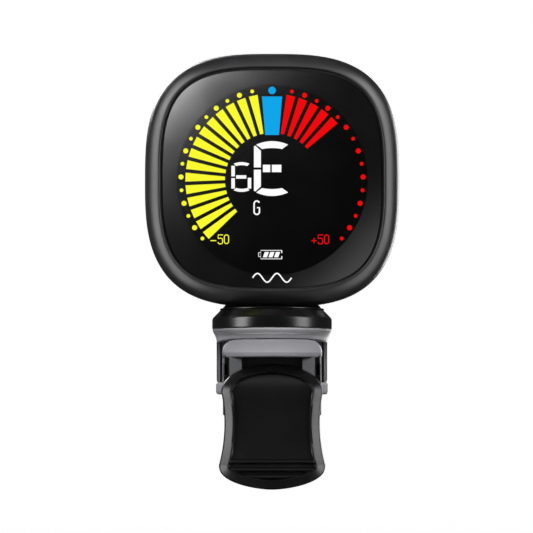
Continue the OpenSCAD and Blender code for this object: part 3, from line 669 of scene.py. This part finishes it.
def make_collar():
    """The swivel collar: a straight band with a rounded, chamfered shoulder."""
    r, low, high = COLLAR_HIGH[0], COLLAR_LOW[2], COLLAR_HIGH[2]
    bore_r, ceiling = 6.25, 4.4
    profile = [(DISC_R_OUT, ceiling), (DISC_R_OUT, low), (r - 0.25, low)]
    profile += arc(r - 0.25, low + 0.25, 0.25, -70, 0, 5)
    profile += arc(r - 1.0, 4.0, 1.0, 0, 48, 9) + arc(DISC_R_OUT - 0.25, high - 0.4, 0.4, 48, 90, 5)
    profile += [(bore_r, high), (bore_r, ceiling)]
    collar = lathe("collar_ring", profile, COLLAR_BLACK, 192, closed=True, smooth_angle=30)
    return settle(collar, "clip", "gloss_black", "swivel_collar")


def make_turntable():
    """The thin disc under the head, its raised half-moon, and the knuckle that rises behind."""
    low, high, front = COLLAR_HIGH[2] + 0.05, 6.45, 2.3
    r_out = DISC_R_OUT
    disc = lathe("disc", [(0.02, low), (r_out - 0.1, low), (r_out, low + 0.1), (r_out, high - 0.1),
                          (r_out - 0.1, high), (0.02, high)], COLLAR_BLACK, 160)
    rings = []
    slope = [(r_out - 0.12, high - 0.05), (10.35, 6.8), (10.05, 7.15), (9.7, 7.45), (9.55, 7.58), (9.3, 7.66)]
    for r, z in slope:
        start = math.asin(front / r)
        rings.append([(r * math.cos(a), r * math.sin(a), z) for a in np.linspace(start, math.pi - start, 97)])
    moon = loft("moon", rings, COLLAR_BLACK)
    y, z, r = TILT_AXIS[1], TILT_AXIS[2], HINGE_R
    outline = arc(y, z, r, 0, 180, 24) + [(y - r, z - 1), (5.0, high + 1.4), (4.4, high - 0.2),
                                          (y + 1.9, high - 0.2), (y + 1.5, high + 1.4)]
    knuckle = prism("knuckle", outline, -KNUCKLE_HALF, KNUCKLE_HALF, "x", BLACK_BODY, edge=0.3)
    turntable = join("turntable_body", [disc, moon, knuckle])
    return settle(turntable, "turntable", "black_plastic", "turntable")


def make_bracket():
    """The hinge bracket: a screwed-on base plate with two rounded lugs."""
    y, z, r = TILT_AXIS[1], TILT_AXIS[2], HINGE_R
    half, high = BRACKET_HIGH[0], BRACKET_HIGH[2]
    foot, corner = z - 2.2, 1.5
    base = [(-half, foot), (-half, high - corner)] + arc(-half + corner, high - corner, corner, 180, 90, 6)
    base += arc(half - corner, high - corner, corner, 90, 0, 6) + [(half, foot)]
    plate = prism("plate", base, BACK_Y + 0.02, BACK_Y + 1.1, "y", BLACK_BODY, edge=0.22)
    outline = [(BACK_Y + 0.6, foot), (y, z - r)] + arc(y, z, r, -85, 55, 18) + [(BACK_Y + 0.6, z + 6.8)]
    lugs = [prism("lug", outline, *span, "x", BLACK_BODY, edge=0.25)
            for span in ((-half, -LUG_IN), (LUG_IN, half))]
    bracket = join("bracket_body", [plate] + lugs)
    return settle(bracket, "head", "black_plastic", "hinge_bracket")


COLLAR = make_collar()
TURNTABLE = make_turntable()
make_bracket()


# ---------------------------------------------------------------- the thumb lever

DOME_Z, DOME_TOP = -10.8, -4.95
WAIST_HALF_W, WAIST_Z = 9.59, -17.2
FLARE_HALF_W, FLARE_Z = 10.66, -25.43
LEVER_FOOT = LEVER_LOW[2]
PLATE_T = 2.0
RIB_ZS = (-24.3, -25.9, -27.3)
RIM = 1.85
JAW_CENTRE_Y = 1.4
LEVER_HALF_W, CHEEK_IN = 9.9, 8.8


def lever_half_w(z):
    """Half width of the thumb plate at a height: a dome, a waist, a flare and a round foot."""
    def side(at):
        return WAIST_HALF_W + (FLARE_HALF_W - WAIST_HALF_W) * ((at - WAIST_Z) / (FLARE_Z - WAIST_Z)) ** 2
    if z > DOME_Z:
        return side(DOME_Z) * math.sqrt(max(0.0, 1 - ((z - DOME_Z) / (DOME_TOP - DOME_Z)) ** 2))
    if z > FLARE_Z:
        return side(z)
    return FLARE_HALF_W * max(0.0, 1 - ((FLARE_Z - z) / (FLARE_Z - LEVER_FOOT)) ** 2.4) ** 0.6


def lever_front(z):
    """Depth of the thumb plate's front at a height."""
    if z > -12:
        return -12.6 + 3.2 * ((z + 12) / 7) ** 2
    return -12.6 - 4.2 * ((-12 - z) / 19.4) ** 2.2


def thumb_relief(z, d):
    """How far the thumb plate's front stands back at distance d from its edge: a bevel, a dish, ribs."""
    to_ridge = RIM - d
    back = 0.5 * 1.05 / RIM * (to_ridge + np.sqrt(to_ridge ** 2 + 0.3 ** 2))
    back += 0.9 * np.clip(1 - d / 0.3, 0, 1) ** 2 * 0.35
    t = np.clip((d - RIM + 0.05) / 0.3, 0, 1)
    back += 0.85 * t * t * (3 - 2 * t)
    inside = np.clip((d - RIM + 0.15) / 0.45, 0, 1)
    for rib in RIB_ZS:
        across = np.clip(np.abs((z - (rib - 0.45)) / 0.52), 0, 1)
        back = np.minimum(back, back + inside * (0.2 - back) * (1 - across ** 3))
    return back


def make_thumb_plate():
    """The thumb plate: a bevelled rim round a dish, with three grip ribs near its foot."""
    rows, cols = 220, 140
    middle, half = (DOME_TOP + LEVER_FOOT) / 2, (DOME_TOP - LEVER_FOOT) / 2
    zs = [middle + half * math.cos(math.pi * i / rows) for i in range(rows + 1)]
    dense = middle + half * np.cos(np.linspace(0, math.pi, 1200))
    edge = np.array([(lever_half_w(z), z) for z in dense])
    edge = np.concatenate([edge, edge * [-1, 1]])
    across = np.sin(math.pi / 2 * np.linspace(-1, 1, cols + 1))
    points = []
    for side in (0, 1):
        for z in zs:
            x = max(lever_half_w(z), 0.02) * across
            d = np.min(np.hypot(edge[:, :1] - x, edge[:, 1:] - z), axis=0)
            round_back = 0.3 - np.sqrt(np.maximum(0, 0.09 - (0.3 - np.minimum(d, 0.3)) ** 2))
            y = lever_front(z) + (PLATE_T - round_back if side else thumb_relief(z, d))
            points += list(zip(x, y, np.full(cols + 1, z)))

    def at(side, i, j):
        return (side * (rows + 1) + i) * (cols + 1) + j

    faces = [(at(side, i, j), at(side, i, j + 1), at(side, i + 1, j + 1), at(side, i + 1, j))
             for side in (0, 1) for i in range(rows) for j in range(cols)]
    faces += [(at(0, i, j), at(0, i + 1, j), at(1, i + 1, j), at(1, i, j))
              for i in range(rows) for j in (0, cols)]
    faces += [(at(0, i, j), at(0, i, j + 1), at(1, i, j + 1), at(1, i, j))
              for i in (0, rows) for j in range(cols)]
    return add_object("thumb_plate", make_mesh("thumb_plate", points, faces), BLACK_LEVER, 50)


def jaw_outline(half_w, r, rear_y, corner=1.2, steps=30):
    """The jaw seen from above: a round front, rounded corners and a straight back."""
    limit = half_w - corner
    a_max = math.asin(limit / (r - corner))
    corner_y = JAW_CENTRE_Y - (r - corner) * math.cos(a_max)
    front = [(r * math.sin(a), JAW_CENTRE_Y - r * math.cos(a)) for a in np.linspace(-a_max, a_max, steps)]
    right = [(limit + corner * math.sin(a), corner_y - corner * math.cos(a))
             for a in np.linspace(a_max, math.pi / 2, 8)][1:]
    left = [(-x, y) for x, y in reversed(right)]
    return left + front + right + [(half_w, rear_y), (-half_w, rear_y)]


def make_lever():
    """The moving jaw, its web and its two cheeks, joined to the thumb plate."""
    jaw = prism("jaw", jaw_outline(LEVER_HALF_W, 12.2, -2.0), -3.2, -1.2, "z", BLACK_LEVER, edge=0.25)
    plate = [(-8.1, -3.3), (-8.1, -9.0), (-6.6, -9.0), (-6.6, -3.3)]
    web = prism("web", plate, -9.8, 9.8, "x", BLACK_LEVER, edge=0.2)
    y, z = PIVOT_AXIS[1], PIVOT_AXIS[2]
    outline = [(-5.5, -1.3), (-2.0, -1.3), (-2.0, -3.2), (y + 1.1, z + 2.1)] + arc(y, z, 2.4, 55, -100, 16)
    outline += [(-11, -15.5), (-11, -9.5), (-8.1, -7.5), (-8.1, -5), (-5.5, -3.2)]
    cheeks = [prism("cheek", outline, *span, "x", BLACK_LEVER, edge=0.2)
              for span in ((-LEVER_HALF_W, -CHEEK_IN), (CHEEK_IN, LEVER_HALF_W))]
    lever = join("lever_body", [make_thumb_plate(), jaw, web] + cheeks)
    return settle(lever, "lever", "black_plastic", "thumb_lever")


LEVER = make_lever()


# ---------------------------------------------------------------- silicone pads

def make_lower_pad():
    """The moving jaw's silicone cap, sloped at the mouth, with two straps down into the lever."""
    top, nose, lip = PAD_HIGH[2], -2.73, -3.75
    half_w, front_r, rear_y = PAD_HIGH[0], 13.4, -2.05
    profile = [(0.45, 0.30, lip), (0.15, 0.10, lip + 0.12), (0.0, 0.0, lip + 0.35), (0.05, 0.05, nose - 0.30),
               (0.0, 0.0, nose - 0.12), (0.0, 0.02, nose)]
    for t in np.linspace(0.08, 1.0, 14):
        corner = 2.5 * (1 - math.sqrt(max(0.0, 1 - t * t)))
        profile.append((corner, 2.05 * t + 0.25 * t ** 8, nose + (top - nose) * t))
    rings = []
    for side_in, front_in, z in profile:
        ring = []
        for x, y in jaw_outline(half_w - side_in, front_r, rear_y, corner=2.4, steps=48):
            lean = max(0.0, min(1.0, (rear_y - y) / 6.0))
            ring.append((x, y + front_in * lean, z))
        rings.append(ring)
    cap = loft("cap", rings, GREY_SILICONE, smooth_angle=38)
    strap = [(-9.0, -3.6), (-9.0, -8.6), (-8.1, -8.6), (-8.1, -3.6)]
    # The straps take the darker silicone: painted shade under the pad.
    straps = [prism("strap", strap, *span, "x", STRAP_SILICONE_PAINTED_SHADE, edge=0.2)
              for span in ((-8.7, -6.1), (6.1, 8.7))]
    pad = join("lower_pad", [cap] + straps)
    return settle(pad, "lever", "silicone_grey", "lower_jaw_pad")


def make_pad_skirt():
    """The fixed pad's flared lip: it slopes in to the grip face in front, and meets the body at the sides."""
    top_r = COLLAR_HIGH[0] - 0.05
    body_r = BODY_HIGH[0] - 0.15
    foot_r, inner_r = 9.6, 10.95
    top, ledge, base, side_drop = 2.12, 0.98, 0.10, 0.55
    around = 193
    angles = np.linspace(math.pi, 2 * math.pi, around)

    def foot_at(to_side):
        return foot_r + (body_r - foot_r) * to_side

    rings = []
    for t, z in [(0.0, top), (0.03, 1.95)] + [(u, 1.95 - 1.80 * u) for u in np.linspace(0.12, 0.94, 8)]:
        rings.append([])
        for a in angles:
            to_side = abs(math.cos(a)) ** 5
            curve = t + (math.sin(math.pi / 2 * t) - t) * to_side
            r = top_r + (foot_at(to_side) - top_r) * curve
            rings[-1].append((r * math.cos(a), r * math.sin(a), z - side_drop * t * to_side ** 3))
    for inset, z in ((0.12, base), (5.0, base), (5.0, ledge)):
        rings.append([])
        for a in angles:
            to_side = abs(math.cos(a)) ** 5
            r = foot_at(to_side) - inset
            drop = side_drop * to_side ** 3 if inset < 1 else 0.0
            rings[-1].append((r * math.cos(a), r * math.sin(a), z - drop))
    rings += [[(inner_r * math.cos(a), inner_r * math.sin(a), z) for a in angles] for z in (ledge, top)]
    count = len(rings)
    points = [p for ring in rings for p in ring]
    faces = []
    for j in range(count):
        n = (j + 1) % count
        faces += [(j * around + i, j * around + i + 1, n * around + i + 1, n * around + i)
                  for i in range(around - 1)]
    faces += [tuple(j * around for j in range(count)), tuple(j * around + around - 1 for j in range(count))]
    # The skirt takes the lighter silicone: painted light on its downward-facing slope.
    return add_object("skirt", make_mesh("skirt", points, faces), SKIRT_SILICONE_PAINTED_LIGHT, 35)


def make_upper_pad():
    """The fixed jaw's silicone lining: a flared lip, a ceiling, a back wall and a bead with two feet."""
    wall, low, high = 8.6, UPPER_LOW[2], -8.4
    lining_w, rib_in, rib_out = 10.35, 10.75, 11.15
    outer = [(-0.2, 0.98)] + arc(wall - 4, -3.02, 3.98, 90, 0, 12) + [(wall - 0.02, high - 0.2)]
    inner = [(wall - 1, high - 0.2)] + arc(wall - 4, -3, 3, 0, 85, 12) + [(-0.2, 0.1)]
    spans = ((-rib_out, -rib_in), (-lining_w, lining_w), (rib_in, rib_out))
    lining = [prism("lining", outer + inner, *span, "x", GREY_SILICONE, edge=0.12, segments=2)
              for span in spans]
    bead = [(wall - 1.5, high), (wall - 1.5, low), (wall - 0.1, low), (wall - 0.1, high)]
    middle = prism("bead", bead, -7.05, 7.05, "x", GREY_SILICONE, edge=0.45, segments=5)
    # The two feet take the lighter silicone: painted light.
    feet = [prism("foot", bead, *span, "x", FEET_SILICONE_PAINTED_LIGHT, edge=0.6, segments=6)
            for span in ((-11.6, -8.65), (8.65, 11.6))]
    pad = join("upper_pad", [make_pad_skirt(), middle] + lining + feet)
    return settle(pad, "clip", "silicone_grey", "upper_jaw_pad")


PADS = [make_lower_pad(), make_upper_pad()]


# ---------------------------------------------------------------- the clip body

def make_clip_body():
    """The fixed jaw: a plate that turns down into a back wall and a flared rear grip, with ears."""
    low, top, wall_in, wall_out = 1.0, COLLAR_LOW[2], 8.6, 10.9
    waist, body_w, plate_r, corner_r = -10.4, BODY_HIGH[0], 10.9, 0.35
    plate_ys = np.concatenate([-plate_r * np.cos(np.linspace(0, math.pi / 2, 14)), [2.0, 4.0]])
    centre = [(y, (low + top) / 2) for y in plate_ys] + arc(4.6, -3.35, 5.0, 88, 0, 14)
    centre += [(9.72, -8.0), (9.75, -14.0), (10.35, -17.5), (10.95, -20), (12.1, -24), (13.05, -27.3)]
    rows = []
    for k, (y, z) in enumerate(centre):
        before, after = centre[max(0, k - 1)], centre[min(len(centre) - 1, k + 1)]
        d = np.array([after[0] - before[0], after[1] - before[1]])
        d /= np.linalg.norm(d)
        n = np.array([-d[1], d[0]])
        if y < 0 and z > 0:
            half = math.sqrt(max(0.0, plate_r ** 2 - y * y))
        elif z > waist:
            half = body_w
        else:
            half = min(lever_half_w(z - 1.2) - 0.9, 9.3)
        t = 0.65 if z > 0 else 1.12
        rows.append((np.array([y, z]), n, max(half, 0.05), t))
    rings = []
    for p, n, half, t in rows:
        ring = []
        corner = min(corner_r, half * 0.8)
        for sx, sn, start in ((1, 1, 0), (-1, 1, 90), (-1, -1, 180), (1, -1, 270)):
            for a in np.linspace(start, start + 90, 5):
                u = sx * (half - corner) + corner * math.cos(math.radians(a))
                v = sn * (t - corner_r) + corner_r * math.sin(math.radians(a))
                q = p + n * v
                ring.append((u, q[0], q[1]))
        rings.append(ring)
    shell = loft("shell", rings, BLACK_BODY, smooth_angle=50)
    y, z = PIVOT_AXIS[1], PIVOT_AXIS[2]
    ear = arc(y, z, 2.6, 75, 285, 24) + [(wall_in + 0.8, z - 3), (wall_in + 0.8, z + 3)]
    ears = [prism("ear", ear, *span, "x", BLACK_BODY, edge=0.15) for span in ((-8.6, -7.1), (7.1, 8.6))]
    boss = lathe("boss", [(3.8, 1.2), (6.2, 1.2), (6.2, 5.2), (3.8, 5.2)], BLACK_BODY, 96, closed=True)
    rib = [(0.02, -6.0), (0.45, -5.95), (0.6, -5.7), (0.6, 5.7), (0.45, 5.95), (0.02, 6.0)]
    ribs = [lathe("rib", rib, BLACK_BODY, 20, axis="x", centre=(0, wall_out + 2.35 - (zr + 25.5) * 0.28, zr))
            for zr in (-21.5, -23.5, -25.5)]
    body = join("clip_shell", [shell, boss] + ears + ribs)
    return settle(body, "clip", "black_plastic", "clip_body")


make_clip_body()


# ---------------------------------------------------------------- small fittings

def tube(name, path, radius, material):
    """A round wire swept along points, with closed ends."""
    angles = np.linspace(0, 2 * math.pi, 20, endpoint=False)
    path = [np.array(p, float) for p in path]
    rings = []
    for i, p in enumerate(path):
        along = path[min(i + 1, len(path) - 1)] - path[max(i - 1, 0)]
        along /= np.linalg.norm(along)
        u = np.cross(along, [1.0, 0.0, 0.0])
        u /= np.linalg.norm(u)
        v = np.cross(along, u)
        rings.append([p + radius * (math.cos(a) * u + math.sin(a) * v) for a in angles])
    return loft(name, rings, material, smooth_angle=50)


def make_spring():
    """The torsion spring: six turns about the pivot, one leg on each half of the clip."""
    y, z, r, wire = PIVOT_AXIS[1], PIVOT_AXIS[2], 2.2, 0.45
    half, turns = 3.45, 6
    start, finish = math.radians(19.3), math.radians(123.0)
    total = 2 * math.pi * turns + finish - start
    coil = []
    for u in np.linspace(0, 1, 44 * turns):
        a = start + total * u
        coil.append((-half + 2 * half * u, y + r * math.cos(a), z + r * math.sin(a)))
    rear = [(coil[0][0], coil[0][1] + s * math.sin(start), coil[0][2] - s * math.cos(start))
            for s in np.linspace(11.5, 0.6, 12)]
    front = [(coil[-1][0], coil[-1][1] - s * math.sin(finish), coil[-1][2] + s * math.cos(finish))
             for s in np.linspace(0.6, 14.6, 14)]
    spring = tube("coil_spring", rear + coil + front, wire, SPRING_STEEL)
    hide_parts("torsion_spring")
    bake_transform(spring)


def make_button(body, dotted):
    """A push button: a dished cap with a rolled edge, a locating flange, and a raised dot or bar to feel."""
    low, high = box_mm(body)
    x, z = (low[0] + high[0]) / 2, (low[2] + high[2]) / 2
    ledge, roll = 1.6, 0.35
    flange_r = (high[0] - low[0]) / 2
    r, front, back = flange_r - FLANGE, low[1], high[1]
    profile = [(0.02, front), (flange_r, front), (flange_r, ledge), (r, ledge), (r, back - roll)]
    profile += arc(r - roll, back - roll, roll, 0, 80, 6)
    profile += [(r - 0.6, back - 0.02), (1.2, back - 0.16), (0.02, back - 0.2)]
    cap = lathe("cap", profile, BUTTON_BLACK, 96, axis="y", centre=(x, 0, z), smooth_angle=30)
    sunk = back - 0.25
    if dotted:
        dot = [(0.02, sunk), (0.5, sunk), (0.5, back - 0.1), (0.36, back - 0.02), (0.02, back)]
        mark = lathe("mark", dot, BUTTON_BLACK, 40, axis="y", centre=(x, 0, z))
    else:
        bar = arc(x + 0.7, z, 0.3, -90, 90, 10) + arc(x - 0.7, z, 0.3, 90, 270, 10)
        mark = prism("mark", bar, sunk, back, "y", BUTTON_BLACK, edge=0.1)
    return settle(join(body + "_cap", [cap, mark]), body, "button_black", body)


def make_port_tongue():
    """The contact tongue in the middle of the charging socket."""
    y = (SOCKET_LOW[1] + SOCKET_HIGH[1]) / 2
    z = (SOCKET_LOW[2] + SOCKET_HIGH[2]) / 2
    tongue = rect(y - 0.35, z - 3.2, y + 0.35, z + 3.2)
    core = prism("core", tongue, SOCKET_LOW[0] + 0.8, SOCKET_HIGH[0] - 0.9, "x",
                 NODE_MATERIALS["chip_black"], edge=0.12)
    half, pitch = 0.13, 0.5
    contacts = [prism("contact", rect(y + s * 0.34, z + k - half, y + s * 0.38, z + k + half),
                      SOCKET_HIGH[0] - 4.0, SOCKET_HIGH[0] - 1.2, "x", NODE_MATERIALS["piezo_brass"])
                for s in (-1, 1) for k in np.arange(-2.75, 2.8, pitch)]
    return settle(join("port_tongue", [core] + contacts), "head", "chip_black")


make_spring()
make_button("power_button", dotted=True)
make_button("mode_button", dotted=False)
make_port_tongue()


# ---------------------------------------------------------------- the stage, lights and camera

def emitter(name, place, aim, size, power, diffuse=True, glossy=True, roll=0.0, only=(), skip=()):
    """A soft rectangular light, aimed at a point and turned by roll degrees; sizes in millimetres.

    only lists the pieces that it lights, and skip the ones that it leaves out.
    """
    light = bpy.data.lights.new(name, "AREA")
    light.shape = "RECTANGLE"
    light.size, light.size_y = size[0] * MM, size[1] * MM
    light.energy = power
    lamp = bpy.data.objects.new(name, light)
    lamp.location = Vector(place) * MM
    facing = (Vector(aim) * MM - lamp.location).to_track_quat("-Z", "Y")
    lamp.rotation_euler = (facing @ Quaternion((0, 0, 1), math.radians(roll))).to_euler()
    lamp.visible_camera = False
    lamp.visible_diffuse = diffuse
    lamp.visible_glossy = glossy
    if only or skip:
        listed = bpy.data.collections.new(name + "_pieces")
        for piece in only or skip:
            listed.objects.link(piece)
        lamp.light_linking.receiver_collection = listed
        for member in listed.collection_objects:
            member.light_linking.link_state = "INCLUDE" if only else "EXCLUDE"
    bpy.context.scene.collection.objects.link(lamp)


def make_stage():
    """A pale floor that sweeps up into a wall and a dome all round, so that it shows from every side."""
    floor_z, radius, sweep_r, dome_z = -62.0, 1200.0, 400.0, 600.0
    flat_r = 400.0
    profile = [(0.02, floor_z), (flat_r, floor_z)]
    profile += [(radius - sweep_r + sweep_r * math.sin(a), floor_z + sweep_r * (1 - math.cos(a)))
                for a in np.linspace(0, math.pi / 2, 16)]
    profile += [(max(radius * math.cos(a), 0.02), dome_z + radius * math.sin(a))
                for a in np.linspace(0, math.pi / 2, 20)]
    material, _, _, shader = node_material("pale_backdrop")
    shader.inputs["Base Color"].default_value = (0.93, 0.93, 0.93, 1)
    shader.inputs["Roughness"].default_value = 0.9
    shader.inputs["Emission Color"].default_value = (1, 1, 1, 1)
    shader.inputs["Emission Strength"].default_value = 0.9
    sweep = lathe("backdrop", profile, material, 96, smooth_angle=80)
    sweep.visible_diffuse = False
    sweep.visible_glossy = False


def make_world():
    """Dim, even light from all round."""
    world = bpy.data.worlds.new("studio")
    world.use_nodes = True
    background = world.node_tree.nodes["Background"]
    background.inputs["Color"].default_value = (1, 1, 1, 1)
    background.inputs["Strength"].default_value = 0.05
    bpy.context.scene.world = world


def make_camera():
    """A long lens straight in front, a little below the object's middle."""
    lens, sensor, view_width = 200, 36, 109.5
    camera = bpy.data.cameras.new("camera")
    camera.lens = lens
    camera.sensor_width = sensor
    camera.clip_start = 0.01
    viewer = bpy.data.objects.new("camera", camera)
    target = Vector((-1.13, 0, 15.18)) * MM
    distance = view_width * lens / sensor * MM
    elevation = math.radians(-3.5)
    away = Vector((0, -math.cos(elevation), math.sin(elevation)))
    viewer.location = target + away * distance
    viewer.rotation_euler = (-away).to_track_quat("-Z", "Y").to_euler()
    bpy.context.scene.collection.objects.link(viewer)
    bpy.context.scene.camera = viewer


def make_lights():
    """Soft lights all round, with weak ones that only shape the gloss of one piece."""
    emitter("softbox_left", (-300, -170, 60), (0, 0, 15), (160, 340), 1.25, skip=PADS)
    emitter("softbox_right", (300, -170, 60), (0, 0, 15), (160, 340), 1.0, skip=PADS)
    emitter("top_light", (0, -60, 380), (0, 0, 20), (300, 200), 0.8, glossy=False)
    emitter("front_high", (0, -350, 300), (0, 0, 30), (400, 160), 0.35, diffuse=False, only=[BEZEL])
    emitter("low_fill", (0, -260, -220), (0, 0, 0), (200, 200), 0.7, glossy=False, skip=PADS)
    emitter("pad_light", (0, -330, 170), (0, 0, 0), (500, 160), 1.85, only=PADS)
    emitter("rear_key", (-200, 380, 260), (0, 0, 10), (260, 200), 1.6, skip=[COLLAR, TURNTABLE])
    emitter("rear_fill", (260, 340, 30), (0, 0, 10), (200, 260), 1.0, skip=[COLLAR, TURNTABLE])
    emitter("lever_high", (0, -300, 360), (0, 0, -15), (400, 120), 0.12, diffuse=False, only=[LEVER])
    emitter("rim_under", (0, 0, -300), (0, 0, 30), (400, 300), 0.09, diffuse=False, only=[BEZEL])
    for side, high, power in ((-1, 247, 0.75), (1, 247, 0.75), (-1, -181, 0.65), (1, -181, 0.45)):
        emitter("rim_light", (side * 214, -183, high), (0, 0, 33), (180, 180), power, diffuse=False,
                only=[BEZEL])
    emitter("sheen_high", (-58, -197, 103), (-58, 0, 103), (90, 90), 0.55, diffuse=False, roll=45,
            only=[WINDOW, DISPLAY])
    emitter("sheen_low", (52, -197, -4), (52, 0, -4), (90, 90), 0.045, diffuse=False, roll=45, only=[WINDOW])


make_world()
make_stage()
make_camera()
make_lights()
bpy.context.scene.view_settings.view_transform = "Standard"
